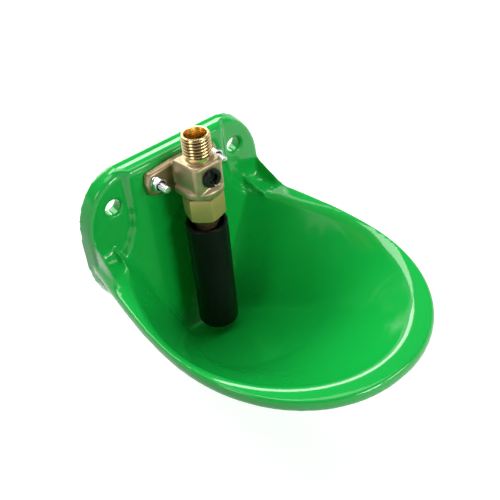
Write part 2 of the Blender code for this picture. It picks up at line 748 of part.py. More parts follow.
def valve_body(finish_material):
    """The brass casting: flange, bridge, block, collar and threaded inlet, bored from both ends."""
    edge = FLANGE_BEVEL
    body = lofted("valve_body", [
        flange_ring(FLANGE_BACK_Y, 0),
        flange_ring(FLANGE_FRONT_Y + edge, edge / 3),
        flange_ring(FLANGE_FRONT_Y, edge * 1.3),
    ], finish_material)
    edge = BLOCK_BEVEL
    bridge_ends = (AXIS_Y + BLOCK_BACK - 2 * MM, FLANGE_FRONT_Y + MM)
    bridge_bottom = COLLAR_BOTTOM + edge
    bridge = extruded("bridge_blank", [
        (-BRIDGE_HALF_WIDTH, bridge_ends[0]), (BRIDGE_HALF_WIDTH, bridge_ends[0]),
        (BRIDGE_HALF_WIDTH, bridge_ends[1]), (-BRIDGE_HALF_WIDTH, bridge_ends[1]),
    ], BRIDGE_TOP - bridge_bottom, place=Matrix.Translation((0, 0, bridge_bottom)))
    block = lofted("block_blank", [
        block_ring(COLLAR_BOTTOM + COLLAR_HEIGHT / 2, 0),
        block_ring(BLOCK_TOP - edge, 0),
        block_ring(BLOCK_TOP, edge),
    ])
    collar = lofted("collar_blank", [
        collar_ring(COLLAR_BOTTOM, edge / 2),
        collar_ring(COLLAR_BOTTOM + edge / 2, 0),
        collar_ring(COLLAR_BOTTOM + COLLAR_HEIGHT - edge, 0),
        collar_ring(COLLAR_BOTTOM + COLLAR_HEIGHT, edge),
        collar_ring(COLLAR_BOTTOM + COLLAR_HEIGHT + COLLAR_FLARE_HEIGHT, COLLAR_FLARE),
    ])
    inlet = turned("inlet_blank", [
        (0, INLET_TOP), (INLET_RADIUS - INLET_EDGE, INLET_TOP),
        (INLET_RADIUS, INLET_TOP - INLET_EDGE), (INLET_RADIUS, BLOCK_TOP - edge),
        (0, BLOCK_TOP - edge),
    ], steps=40, place=VALVE_AXIS)
    combine(body, "UNION", [bridge, block, collar, inlet])
    mouth = INLET_EDGE / 2
    bore = turned("water_way", [
        (0, INLET_TOP + MM), (INLET_BORE + mouth, INLET_TOP + MM), (INLET_BORE + mouth, INLET_TOP),
        (INLET_BORE, INLET_TOP - mouth), (INLET_BORE, BLOCK_TOP), (PASSAGE_RADIUS, BLOCK_TOP),
        (PASSAGE_RADIUS, SHOULDER_Z), (SPRING_BORE, SHOULDER_Z), (SPRING_BORE, CHAMBER_TOP),
        (CHAMBER_RADIUS, CHAMBER_TOP), (CHAMBER_RADIUS, COLLAR_BOTTOM - MM),
        (0, COLLAR_BOTTOM - MM),
    ], steps=40, place=VALVE_AXIS)
    port = along_y(
        "flow_port", FLOW_SHANK_RADIUS + FIT_GAP, BLOCK_FRONT_Y - MM, AXIS_Y, 0, FLOW_Z
    )
    holes = [
        along_y(
            f"flange_hole_{word}", STUD_RADIUS + FIT_GAP, FLANGE_FRONT_Y - MM, FLANGE_BACK_Y + MM,
            side * STUD_SPACING / 2, STUD_Z, steps=20,
        )
        for side, word in ((-1, "left"), (1, "right"))
    ]
    combine(body, "DIFFERENCE", [bore, port, *holes])
    return body


def outlet_nut(finish_material):
    """Hexagon nut with the seat on its spigot and the open spout below."""
    turn = Matrix.Rotation(math.radians(NUT_TURN), 4, "Z")
    nut = hexagon(
        "outlet_nut", NUT_ACROSS_FLATS, NUT_HEIGHT, NUT_CHAMFER, finish_material,
        bore=SPOUT_BORE + MM, place=Matrix.Translation((0, AXIS_Y, NUT_BOTTOM)) @ turn,
    )
    seat_base = NUT_TOP + SPIGOT_LENGTH
    spigot_radius = CHAMBER_RADIUS - FIT_GAP
    neck_bottom = NUT_BOTTOM - NUT_NECK_LENGTH
    spout_bottom = neck_bottom - SPOUT_LENGTH
    seat_under = seat_base - SEAT_PLATE
    core = turned("nut_core", [
        (SEAT_BORE, SEAT_TOP), (SEAT_RADIUS, SEAT_TOP), (SEAT_RADIUS, seat_base),
        (spigot_radius - MM, seat_base), (spigot_radius, seat_base - MM),
        (spigot_radius, NUT_BOTTOM + MM), (NUT_NECK_RADIUS, NUT_BOTTOM),
        (NUT_NECK_RADIUS, neck_bottom), (SPOUT_RADIUS, neck_bottom),
        (SPOUT_RADIUS, spout_bottom), (SPOUT_BORE, spout_bottom),
        (SPOUT_BORE, seat_under - (SPOUT_BORE - SEAT_BORE)), (SEAT_BORE, seat_under),
    ], steps=40, place=VALVE_AXIS)
    combine(nut, "UNION", [core])
    return nut


def plunger(finish_material):
    """Steel head and stem, which the push tube tips on the seat."""
    collar_low = HUB_TOP + HUB_WASHER + 2 * FIT_GAP
    collar_high = collar_low + STEM_COLLAR
    end = HUB_BOTTOM - FIT_GAP - LOCK_NUT_HEIGHT - STEM_PROUD
    tip_top = HEAD_TOP + STEM_TIP
    return turned("plunger", [
        (0, tip_top), (SPRING_RADIUS / 2, tip_top), (SPRING_RADIUS / 2, HEAD_TOP),
        (SEAL_RADIUS, HEAD_TOP), (SEAL_RADIUS, HEAD_BOTTOM), (STEM_RADIUS, HEAD_BOTTOM),
        (STEM_RADIUS, collar_high), (STEM_COLLAR_RADIUS, collar_high),
        (STEM_COLLAR_RADIUS, collar_low), (STEM_RADIUS, collar_low),
        (STEM_RADIUS, end + STEM_CHAMFER), (STEM_RADIUS - STEM_CHAMFER, end), (0, end),
    ], finish_material, steps=24, place=VALVE_AXIS)


def coil_height(turns, height):
    """Height along a coil with closed end turns, after a number of turns from its foot."""
    lead = SPRING_CLOSED_TURNS * SPRING_CLOSED_PITCH
    if turns < SPRING_CLOSED_TURNS:
        return turns * SPRING_CLOSED_PITCH
    if turns > SPRING_TURNS - SPRING_CLOSED_TURNS:
        return height - (SPRING_TURNS - turns) * SPRING_CLOSED_PITCH
    share = (turns - SPRING_CLOSED_TURNS) / (SPRING_TURNS - 2 * SPRING_CLOSED_TURNS)
    return lead + (height - 2 * lead) * share


def return_spring(finish_material):
    """Closed-end coil between the plunger's head and the shoulder in the body."""
    low = HEAD_TOP + FIT_GAP + SPRING_WIRE
    height = SHOULDER_Z - FIT_GAP - SPRING_WIRE - low
    curve = bpy.data.curves.new("return_spring", "CURVE")
    curve.dimensions = "3D"
    curve.bevel_depth = SPRING_WIRE
    curve.bevel_resolution = 1
    curve.use_fill_caps = True
    steps = SPRING_SIDES * SPRING_TURNS
    line = curve.splines.new("POLY")
    line.points.add(steps)
    for i, point in enumerate(line.points):
        turns = i / SPRING_SIDES
        turn = 2 * math.pi * turns
        x, y = SPRING_RADIUS * math.cos(turn), SPRING_RADIUS * math.sin(turn)
        point.co = (x, y, low + coil_height(turns, height), 1)
    made = bpy.data.objects.new("return_spring", curve)
    bpy.context.scene.collection.objects.link(made)
    curve.materials.append(finish_material)
    made.matrix_world = VALVE_AXIS
    return made


def push_tube(finish_material):
    """Black tube with a rounded lower edge and a three-armed hub inside."""
    inner = TUBE_RADIUS - TUBE_WALL
    bend = TUBE_EDGE * (1 - math.cos(math.radians(45)))
    shell = turned("push_tube", [
        (inner, TUBE_TOP), (TUBE_RADIUS - TUBE_BREAK, TUBE_TOP), (TUBE_RADIUS, TUBE_TOP - TUBE_BREAK),
        (TUBE_RADIUS, TUBE_BOTTOM + TUBE_EDGE), (TUBE_RADIUS - bend, TUBE_BOTTOM + bend),
        (TUBE_RADIUS - TUBE_EDGE, TUBE_BOTTOM), (inner, TUBE_BOTTOM),
    ], finish_material, steps=40, place=VALVE_AXIS)
    hub = turned("hub_blank", rod(HUB_RADIUS, HUB_BOTTOM, HUB_TOP), steps=24, place=VALVE_AXIS)
    near, far, half = HUB_RADIUS / 2, inner + TUBE_WALL / 2, HUB_ARM / 2
    outline = [(near, -half), (far, -half), (far, half), (near, half)]
    arms = []
    for i in range(HUB_ARMS):
        turn = Matrix.Rotation(2 * math.pi * i / HUB_ARMS + math.pi / 2, 4, "Z")
        place = Matrix.Translation((0, AXIS_Y, HUB_BOTTOM)) @ turn
        arms.append(extruded(f"hub_arm_{i}", outline, HUB_HEIGHT * 0.8, place=place))
    combine(shell, "UNION", [hub, *arms])
    hole = turned(
        "hub_hole", rod(STEM_RADIUS + FIT_GAP, HUB_BOTTOM - MM, HUB_TOP + MM), steps=24,
        place=VALVE_AXIS,
    )
    combine(shell, "DIFFERENCE", [hole])
    return shell


def flow_screw(finish_material):
    """Slotted plastic screw that throttles the water, with a groove for its O-ring."""
    head = FIT_GAP + FLOW_HEAD
    tip = BLOCK_FRONT_Y - AXIS_Y + SPRING_BORE + FIT_GAP
    soft = FLOW_EDGE
    groove_low = -(FLOW_GROOVE_BACK + FLOW_GROOVE)
    screw = turned("flow_screw", [
        (0, head), (FLOW_HEAD_RADIUS - soft, head), (FLOW_HEAD_RADIUS, head - soft),
        (FLOW_HEAD_RADIUS, FIT_GAP), (FLOW_SHANK_RADIUS, FIT_GAP),
        (FLOW_SHANK_RADIUS, -FLOW_GROOVE_BACK), (FLOW_SHANK_RADIUS - FLOW_GROOVE, -FLOW_GROOVE_BACK),
        (FLOW_SHANK_RADIUS - FLOW_GROOVE, groove_low), (FLOW_SHANK_RADIUS, groove_low),
        (FLOW_SHANK_RADIUS, tip + soft), (FLOW_SHANK_RADIUS - soft, tip), (0, tip),
    ], finish_material, steps=36, place=FLOW_AXIS)
    socket = turned(
        "flow_socket", rod(FLOW_SOCKET_RADIUS, head - FLOW_SOCKET_DEPTH, head + MM), steps=24,
        place=FLOW_AXIS,
    )
    half, reach = FLOW_SLOT / 2, FLOW_HEAD_RADIUS + MM
    tilt = Matrix.Rotation(math.radians(FLOW_SLOT_TURN), 4, "Z")
    slot = extruded(
        "flow_slot", [(-half, -reach), (half, -reach), (half, reach), (-half, reach)],
        FLOW_HEAD, place=FLOW_AXIS @ Matrix.Translation((0, 0, head - FLOW_HEAD * 0.75)) @ tilt,
    )
    combine(screw, "DIFFERENCE", [socket, slot])
    return screw


def flow_o_ring(finish_material, sides=8):
    """Rubber ring in the flow screw's groove."""
    radius = FLOW_SHANK_RADIUS - FLOW_GROOVE / 2
    level = -(FLOW_GROOVE_BACK + FLOW_GROOVE / 2)
    section = []
    for i in range(sides):
        turn = 2 * math.pi * i / sides
        section.append((radius + O_RING_WIRE * math.cos(turn), level + O_RING_WIRE * math.sin(turn)))
    return turned("flow_screw_o_ring", section, finish_material, steps=24, place=FLOW_AXIS)


def washer(name, outer, inner, low, thickness, finish_material, place, steps=24):
    """A plain ring that lies from one level to the next above it."""
    return turned(name, tube(outer, inner, low, low + thickness), finish_material, steps, place)


def valve_bolt(side, word, steel):
    """Bolt through bowl and flange: head and washer behind, spring washer and nut in front."""
    x = side * STUD_SPACING / 2
    washer_front = PAD_Y + BOWL_WALL + FIT_GAP
    head_back = washer_front + FLAT_WASHER + FIT_GAP + STUD_HEAD_HEIGHT
    spring_back = FLANGE_FRONT_Y - FIT_GAP
    nut_back = spring_back - SPRING_WASHER - FIT_GAP
    length = head_back - nut_back + STUD_NUT_HEIGHT + STUD_PROUD
    upright = Matrix.Rotation(math.radians(30), 4, "Z")
    bolt = hexagon(
        f"bolt_{word}", STUD_HEAD_FLATS, STUD_HEAD_HEIGHT, STUD_CHAMFER, steel,
        place=facing_front(x, head_back, STUD_Z) @ upright,
    )
    shank = turned(f"bolt_shank_{word}", [
        (0, length), (STUD_RADIUS - STUD_CHAMFER, length), (STUD_RADIUS, length - STUD_CHAMFER),
        (STUD_RADIUS, STUD_HEAD_HEIGHT / 2), (0, STUD_HEAD_HEIGHT / 2),
    ], steps=20, place=facing_front(x, head_back, STUD_Z))
    combine(bolt, "UNION", [shank])
    bore = STUD_RADIUS + FIT_GAP
    washer(
        f"flat_washer_{word}", WASHER_RADIUS, bore, 0, FLAT_WASHER, steel,
        facing_front(x, washer_front + FLAT_WASHER, STUD_Z),
    )
    in_front = facing_front(x, spring_back, STUD_Z)
    spring = washer(
        f"spring_washer_{word}", SPRING_WASHER_RADIUS, bore, 0, SPRING_WASHER, steel, in_front
    )
    cut, near, far = SPRING_WASHER_SLIT / 2, bore - MM, SPRING_WASHER_RADIUS + MM
    slit = extruded(
        f"washer_slit_{word}", [(near, -cut), (far, -cut), (far, cut), (near, cut)],
        SPRING_WASHER + 2 * MM, place=in_front @ Matrix.Translation((0, 0, -MM)),
    )
    combine(spring, "DIFFERENCE", [slit])
    hexagon(
        f"hex_nut_{word}", STUD_NUT_FLATS, STUD_NUT_HEIGHT, STUD_CHAMFER, steel, bore=bore,
        place=facing_front(x, nut_back, STUD_Z) @ upright,
    )


def build():
    for old in list(bpy.data.objects):
        bpy.data.objects.remove(old, do_unlink=True)
    green = material("green_plastic", (0.01, 0.42, 0.06), 0.22)
    brass = material("cast_brass", (0.50, 0.42, 0.20), 0.35, 1.0)
    machined = material("turned_brass", (0.60, 0.50, 0.24), 0.22, 1.0)
    steel = material("zinc_steel", (0.62, 0.62, 0.64), 0.3, 1.0)
    stainless = material("stainless_steel", (0.66, 0.66, 0.67), 0.25, 1.0)
    black = material("black_plastic", (0.012, 0.013, 0.013), 0.4)
    nylon = material("black_nylon", (0.02, 0.02, 0.021), 0.5)
    rubber = material("black_rubber", (0.02, 0.02, 0.02), 0.7)
    bowl_shell(green)
    valve_body(brass)
    outlet_nut(machined)
    washer(
        "nut_gasket", GASKET_RADIUS, CHAMBER_RADIUS, NUT_TOP + FIT_GAP, GASKET, rubber,
        VALVE_AXIS, steps=28,
    )
    hole = STEM_RADIUS + FIT_GAP
    seal = washer(
        "valve_seal", SEAL_RADIUS, hole, SEAL_BOTTOM, SEAL_THICKNESS, rubber, VALVE_AXIS
    )
    hub_washer = washer(
        "hub_washer", HUB_RADIUS, hole, HUB_TOP + FIT_GAP, HUB_WASHER, stainless, VALVE_AXIS
    )
    lock_nut = hexagon(
        "tube_lock_nut", LOCK_NUT_FLATS, LOCK_NUT_HEIGHT, STUD_CHAMFER, stainless, bore=hole,
        place=Matrix.Translation((0, AXIS_Y, HUB_BOTTOM - FIT_GAP - LOCK_NUT_HEIGHT)),
    )
    hang_on_axis("tube_pivot", Matrix.Translation((0, AXIS_Y, PIVOT_Z)), [
        plunger(stainless), return_spring(stainless), push_tube(black), seal, hub_washer, lock_nut,
    ])
    hang_on_axis("flow_screw_axis", FLOW_AXIS, [flow_screw(nylon), flow_o_ring(rubber)])
    for side, word in ((-1, "left"), (1, "right")):
        valve_bolt(side, word, steel)


build()
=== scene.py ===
"""A wall-hung drinking bowl for livestock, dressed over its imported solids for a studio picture."""

import math

import bpy
from mathutils import Matrix, Vector, kdtree


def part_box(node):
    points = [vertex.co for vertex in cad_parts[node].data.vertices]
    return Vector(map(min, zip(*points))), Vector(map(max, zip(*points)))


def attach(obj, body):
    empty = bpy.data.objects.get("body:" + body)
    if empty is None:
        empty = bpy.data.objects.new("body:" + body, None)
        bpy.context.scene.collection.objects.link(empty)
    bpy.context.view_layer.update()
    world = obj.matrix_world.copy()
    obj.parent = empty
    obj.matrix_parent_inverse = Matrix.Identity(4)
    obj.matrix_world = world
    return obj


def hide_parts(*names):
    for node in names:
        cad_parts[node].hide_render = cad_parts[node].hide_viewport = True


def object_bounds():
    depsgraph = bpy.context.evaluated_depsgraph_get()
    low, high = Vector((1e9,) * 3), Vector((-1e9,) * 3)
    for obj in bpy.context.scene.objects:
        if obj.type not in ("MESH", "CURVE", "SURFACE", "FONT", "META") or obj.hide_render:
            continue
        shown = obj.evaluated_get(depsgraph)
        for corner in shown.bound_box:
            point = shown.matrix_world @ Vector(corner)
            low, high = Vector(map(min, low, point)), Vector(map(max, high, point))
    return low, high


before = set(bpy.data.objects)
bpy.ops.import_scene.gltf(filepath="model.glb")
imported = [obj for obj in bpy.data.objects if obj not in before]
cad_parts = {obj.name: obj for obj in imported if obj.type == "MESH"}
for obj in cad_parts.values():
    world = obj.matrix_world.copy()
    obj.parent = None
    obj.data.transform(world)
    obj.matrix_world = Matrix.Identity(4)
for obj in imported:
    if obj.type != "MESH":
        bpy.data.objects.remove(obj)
solid_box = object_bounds()
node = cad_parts
bpy.ops.object.select_all(action="DESELECT")

# The camera looks down on the bowl from the front left, slightly tilted, as the photograph does.
# Its lens is worked out for a picture 500 pixels square on a 36 mm sensor.
aim = Vector((0.0, -0.0924, -0.0261))
azimuth = math.radians(-37.86)
elevation = math.radians(39.87)
roll = math.radians(-5.26)
camera_distance = 0.5516
picture_pixels = 500
focal_pixels = 778.08
sensor_mm = 36.0
toward_camera = Vector((
    math.sin(azimuth) * math.cos(elevation),
    -math.cos(azimuth) * math.cos(elevation),
    math.sin(elevation),
))
level = Vector((math.cos(azimuth), math.sin(azimuth), 0))
upright = toward_camera.cross(level)
side = level * math.cos(roll) + upright * math.sin(roll)
crown = upright * math.cos(roll) - level * math.sin(roll)
bpy.ops.object.camera_add(location=aim + toward_camera * camera_distance)
camera = bpy.context.object
camera.rotation_euler = Matrix((side, crown, toward_camera)).transposed().to_euler()
camera.data.sensor_width = sensor_mm
camera.data.lens = sensor_mm * focal_pixels / picture_pixels
camera.data.clip_start = 0.01
bpy.context.scene.camera = camera
bpy.context.scene.view_settings.view_transform = "Standard"

# Studio: a wide grey floor inside a round backdrop, both white where the camera or a mirror sees
# them and giving no light to anything else. Small soft boxes hang above, in front and on the left,
# and two wider panels behind the bowl draw a bright line along its rim.


class Wire:
    """One shader socket, so that sums and products of sockets can be written plainly."""

    def __init__(self, tree, socket=None):
        self.tree = tree
        self.socket = socket

    def node(self, kind, settings=None, inputs=None, output=0):
        """Adds any node: its settings first, then the values or links of its sockets."""
        made = self.tree.nodes.new(kind)
        for name, value in (settings or {}).items():
            if name == "stops":
                ramp = made.color_ramp
                while len(ramp.elements) > 1:
                    ramp.elements.remove(ramp.elements[-1])
                for place, (position, colour) in enumerate(value):
                    stop = ramp.elements[0] if place == 0 else ramp.elements.new(position)
                    stop.position = position
                    stop.color = (*colour, 1.0)
            else:
                setattr(made, name, value)
        for name, value in (inputs or {}).items():
            if isinstance(value, Wire):
                self.tree.links.new(value.socket, made.inputs[name])
            else:
                made.inputs[name].default_value = value
        return Wire(self.tree, made.outputs[output])

    def maths(self, operation, first, second=0.0):
        """Adds a Math node on one or two values."""
        return self.node("ShaderNodeMath", {"operation": operation}, {0: first, 1: second})

    def into(self, socket):
        """Links this value to a shader's socket."""
        self.tree.links.new(self.socket, socket)

    def __add__(self, other):
        return self.maths("ADD", self, other)

    def __radd__(self, other):
        return self.maths("ADD", other, self)

    def __sub__(self, other):
        return self.maths("SUBTRACT", self, other)

    def __rsub__(self, other):
        return self.maths("SUBTRACT", other, self)

    def __mul__(self, other):
        return self.maths("MULTIPLY", self, other)

    def __rmul__(self, other):
        return self.maths("MULTIPLY", other, self)


def start_finish(name, **constants):
    """A new material, its Principled shader with the given constants, and a Wire for its nodes."""
    made = bpy.data.materials.new(name)
    made.use_nodes = True
    shader = made.node_tree.nodes["Principled BSDF"]
    for socket, value in constants.items():
        shader.inputs[socket.replace("_", " ")].default_value = value
    return made, shader, Wire(made.node_tree)


def object_place(wires, scale=(1.0, 1.0, 1.0)):
    """Object coordinates in metres, scaled along each axis."""
    place = wires.node("ShaderNodeTexCoord", output=3)
    return wires.node("ShaderNodeMapping", inputs={"Vector": place, "Scale": scale})


def blend_colours(wires, factor, first, second):
    """A colour between two, by a factor from 0 to 1."""
    return wires.node(
        "ShaderNodeMix", {"data_type": "RGBA"}, {0: factor, 6: first, 7: second}, output=2
    )


def glow_when_seen(wires, shader, brightness):
    """A white glow for the camera and for what mirrors and glass show it, and for no other light."""
    camera_ray = wires.node("ShaderNodeLightPath")
    glossy_ray = wires.node("ShaderNodeLightPath", output=3)
    through_glass = wires.node("ShaderNodeLightPath", output=6)
    seen = wires.maths("MAXIMUM", camera_ray, wires.maths("MAXIMUM", glossy_ray, through_glass))
    blend_colours(wires, seen * brightness, (0, 0, 0, 1), (1, 1, 1, 1)).into(
        shader.inputs["Emission Color"]
    )
    shader.inputs["Emission Strength"].default_value = 1.0


floor_z = solid_box[0][2] - 0.001
bpy.ops.mesh.primitive_plane_add(size=8.0, location=(0, 0, floor_z))
floor = bpy.context.object
floor.name = "floor"
floor_paint, shader, wires = start_finish(
    "pale_floor", Base_Color=(0.5, 0.5, 0.5, 1), Roughness=0.95
)
# The floor glows less near the bowl, where the lamps light it as well.
near_edge = 0.5
far_edge = 2.0
near_brightness = 0.74
from_middle = wires.node(
    "ShaderNodeVectorMath", {"operation": "LENGTH"}, {0: object_place(wires)}, output=1
)
brightness = wires.node("ShaderNodeMapRange", inputs={
    0: from_middle, 1: near_edge, 2: far_edge, 3: near_brightness, 4: 1.0,
})
glow_when_seen(wires, shader, brightness)
floor.data.materials.append(floor_paint)

backdrop_radius = 3.9
backdrop_height = 1.6
bpy.ops.mesh.primitive_cylinder_add(
    vertices=96, radius=backdrop_radius, depth=backdrop_height, end_fill_type="NOTHING",
    location=(0, 0, floor_z + backdrop_height / 2),
)
backdrop = bpy.context.object
backdrop.name = "backdrop"
backdrop_paint, shader, wires = start_finish(
    "white_backdrop", Base_Color=(0.2, 0.2, 0.2, 1), Roughness=1.0
)
glow_when_seen(wires, shader, 1.0)
backdrop.data.materials.append(backdrop_paint)

world = bpy.data.worlds.new("studio")
bpy.context.scene.world = world
world.use_nodes = True
background = world.node_tree.nodes["Background"]
background.inputs["Color"].default_value = (1, 1, 1, 1)
background.inputs["Strength"].default_value = 0.14

# Each lamp's name, place in metres, width, depth and watts. All of them face the bowl.
for name, place, width, depth, watts in (
    ("overhead_lamp", (0.25, -0.05, 0.95), 0.5, 0.5, 2.2),
    ("crown_lamp", (-0.14, 0.15, 1.04), 0.5, 0.5, 2.3),
    ("front_lamp", (0.12, -1.10, 0.39), 0.3, 0.3, 4.3),
    ("front_right_lamp", (0.47, -0.97, 0.44), 0.3, 0.3, 2.6),
    ("left_lamp", (-0.90, -0.12, 0.60), 0.3, 0.3, 1.5),
    ("rim_panel", (-0.10, 0.83, 0.74), 0.8, 0.7, 11.0),
    ("low_rim_panel", (0.57, 0.86, 0.41), 0.55, 0.32, 4.5),
):
    bpy.ops.object.light_add(type="AREA", location=place)
    lamp = bpy.context.object
    lamp.name = name
    lamp.data.shape = "RECTANGLE"
    lamp.data.size = width
    lamp.data.size_y = depth
    lamp.data.energy = watts
    lamp.rotation_euler = (aim - Vector(place)).to_track_quat("-Z", "Y").to_euler()

# Bowl: one glossy green plastic moulding, with basin, rim, back plate, ears and webs in one piece.
# Its sharp solid is remeshed finely and eased, so that every edge has the soft round of a mould.


def pick(piece):
    """Selects a piece alone and makes it the active one."""
    bpy.ops.object.select_all(action="DESELECT")
    piece.select_set(True)
    bpy.context.view_layer.objects.active = piece


def merged_copy(node_name, piece_name):
    """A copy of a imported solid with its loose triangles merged, selected and active."""
    piece = node[node_name].copy()
    piece.data = node[node_name].data.copy()
    piece.name = piece_name
    for key in list(piece.keys()):
        del piece[key]
    piece.parent = None
    bpy.context.scene.collection.objects.link(piece)
    pick(piece)
    bpy.ops.object.mode_set(mode="EDIT")
    bpy.ops.mesh.select_all(action="SELECT")
    bpy.ops.mesh.remove_doubles(threshold=0.00001)
    bpy.ops.object.mode_set(mode="OBJECT")
    piece.data.materials.clear()
    return piece


def apply_modifier(piece, kind, name, **settings):
    """Adds a modifier with its settings and applies it."""
    modifier = piece.modifiers.new(name, kind)
    for key, value in settings.items():
        setattr(modifier, key, value)
    bpy.context.view_layer.objects.active = piece
    bpy.ops.object.modifier_apply(modifier=modifier.name)


def rise(value, low, high):
    """0 below low and 1 above high, with a smooth step between."""
    share = min(1.0, max(0.0, (value - low) / (high - low)))
    return share * share * (3 - 2 * share)


def ease_where(piece, name, iterations, share):
    """Smooths a piece by share(vertex): 0 leaves a vertex in its place, and 1 eases it fully."""
    group = piece.vertex_groups.new(name=name)
    for vertex in piece.data.vertices:
        amount = share(vertex)
        if amount > 0.01:
            group.add([vertex.index], amount, "REPLACE")
    apply_modifier(
        piece, "SMOOTH", f"ease_{name}", factor=0.5, iterations=iterations, vertex_group=name
    )
    piece.vertex_groups.clear()


rim_level = -0.040
basin_middle_y = -0.115


def on_basin_walls(vertex):
    """1 inside and under the basin, below the rim and ahead of the plate, and 0 elsewhere."""
    below = rise(rim_level - vertex.co.z, 0.005, 0.014)
    ahead = rise(-vertex.co.y, 0.022, 0.036)
    return below * ahead


def on_webs(vertex):
    """1 around the webs that run from the plate's ears down to the rim, and 0 elsewhere."""
    sideways = rise(abs(vertex.co.x), 0.042, 0.050)
    ahead = rise(-vertex.co.y, 0.012, 0.018) * (1 - rise(-vertex.co.y, 0.070, 0.085))
    at_height = rise(vertex.co.z, -0.085, -0.070) * (1 - rise(vertex.co.z, -0.018, -0.008))
    return sideways * ahead * at_height


def facing_middle(vertex):
    """How far a vertex's normal points to the middle of the basin: 1 straight at it, -1 away."""
    inward = Vector((-vertex.co.x, basin_middle_y - vertex.co.y, 0))
    return vertex.normal.dot(inward.normalized())


def on_inner_edge(vertex):
    """Whether a vertex lies where the level rim turns down into the basin."""
    at_rim = rim_level - 0.004 < vertex.co.z < rim_level + 0.001
    leaning = 0.5 < vertex.normal.z < 0.9
    return at_rim and leaning and vertex.co.y < -0.045 and facing_middle(vertex) > 0.4


def on_lip(vertex):
    """1 within 9 mm of the inner edge, and 0 beyond 16 mm and on the rim's outer side."""
    near = 1 - rise(edge_tree.find(vertex.co)[2], 0.009, 0.016)
    inner = rise(facing_middle(vertex), -0.35, -0.05)
    return near * inner


bowl = merged_copy("bowl_shell", "green_bowl")
apply_modifier(bowl, "REMESH", "fine_mesh", mode="VOXEL", voxel_size=0.0011)
apply_modifier(bowl, "SMOOTH", "ease_edges", factor=0.5, iterations=14)
ease_where(bowl, "basin_walls", 90, on_basin_walls)
ease_where(bowl, "webs", 30, on_webs)

# The lip is eased most, so that its roll catches the light in one even line.
inner_edge = [vertex.co.copy() for vertex in bowl.data.vertices if on_inner_edge(vertex)]
edge_tree = kdtree.KDTree(len(inner_edge))
for index, corner in enumerate(inner_edge):
    edge_tree.insert(corner, index)
edge_tree.balance()
ease_where(bowl, "basin_lip", 220, on_lip)
apply_modifier(bowl, "DECIMATE", "thin_flats", ratio=0.48)
pick(bowl)
bpy.ops.object.shade_smooth()


def noise(wires, place, scale, detail=3.0):
    """Soft noise from 0 to 1, with about this many grains to the metre."""
    return wires.node(
        "ShaderNodeTexNoise", inputs={"Vector": place, "Scale": scale, "Detail": detail}
    )


green_plastic, shader, wires = start_finish("green_moulding", IOR=1.49)
place = object_place(wires)
deep_green = (0.007, 0.43, 0.057, 1)
light_green = (0.008, 0.48, 0.065, 1)
cloud = noise(wires, place, 14.0)
blend_colours(wires, cloud, deep_green, light_green).into(shader.inputs["Base Color"])
(noise(wires, place, 60.0, detail=4.0) * 0.05 + 0.08).into(shader.inputs["Roughness"])
bowl.data.materials.append(green_plastic)
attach(bowl, "bowl")
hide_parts("bowl_shell")

# Valve casting: sand-cast brass in one piece, from the bolted flange to the inlet stub.
# The sand leaves soft edges and a fine grain; its stub is cut off here and follows as turned work.
valve_axis_y = (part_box("push_tube")[0][1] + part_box("push_tube")[1][1]) / 2
turning_steps = 64


def lathed(name, profile):
    """A closed solid turned about the valve's axis: (radius, height) points, first and last on it."""
    bpy.ops.object.select_all(action="DESELECT")
    bpy.ops.mesh.primitive_plane_add(size=0.001, location=(0, 0, 0))
    made = bpy.context.object
    made.name = name
    bpy.ops.object.mode_set(mode="EDIT")
    bpy.ops.mesh.select_all(action="SELECT")
    bpy.ops.mesh.merge(type="CENTER")
    bpy.ops.transform.translate(value=(profile[0][0], valve_axis_y, profile[0][1]))
    for (here, low), (there, high) in zip(profile, profile[1:]):
        step = (there - here, 0, high - low)
        bpy.ops.mesh.extrude_region_move(TRANSFORM_OT_translate={"value": step})
    bpy.ops.mesh.select_all(action="SELECT")
    bpy.ops.mesh.spin(
        steps=turning_steps, angle=math.tau, center=(0, valve_axis_y, 0), axis=(0, 0, 1)
    )
    bpy.ops.mesh.select_all(action="SELECT")
    bpy.ops.mesh.remove_doubles(threshold=0.000001)
    bpy.ops.mesh.normals_make_consistent(inside=False)
    bpy.ops.object.mode_set(mode="OBJECT")
    return made


def combine(piece, operation, tool):
    """A Boolean step on a piece, after which the tool is gone."""
    apply_modifier(piece, "BOOLEAN", "shape", operation=operation, object=tool, solver="EXACT")
    bpy.data.objects.remove(tool, do_unlink=True)


def relief(wires, height, distance, strength):
    """A Bump node's normal from a height."""
    return wires.node(
        "ShaderNodeBump", inputs={"Height": height, "Distance": distance, "Strength": strength}
    )


stub_length = 0.0197
stub_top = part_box("valve_body")[1][2]
block_top = stub_top - stub_length
cut_level = block_top + 0.0004
cut_radius = 0.0125
cut_top = stub_top + 0.002
casting = merged_copy("valve_body", "valve_casting")
combine(casting, "DIFFERENCE", lathed("stub_cutter", (
    (0, cut_level), (cut_radius, cut_level), (cut_radius, cut_top), (0, cut_top),
)))
apply_modifier(casting, "REMESH", "fine_mesh", mode="VOXEL", voxel_size=0.0005)
apply_modifier(casting, "SMOOTH", "ease_edges", factor=0.5, iterations=9)
pick(casting)
bpy.ops.object.shade_smooth()

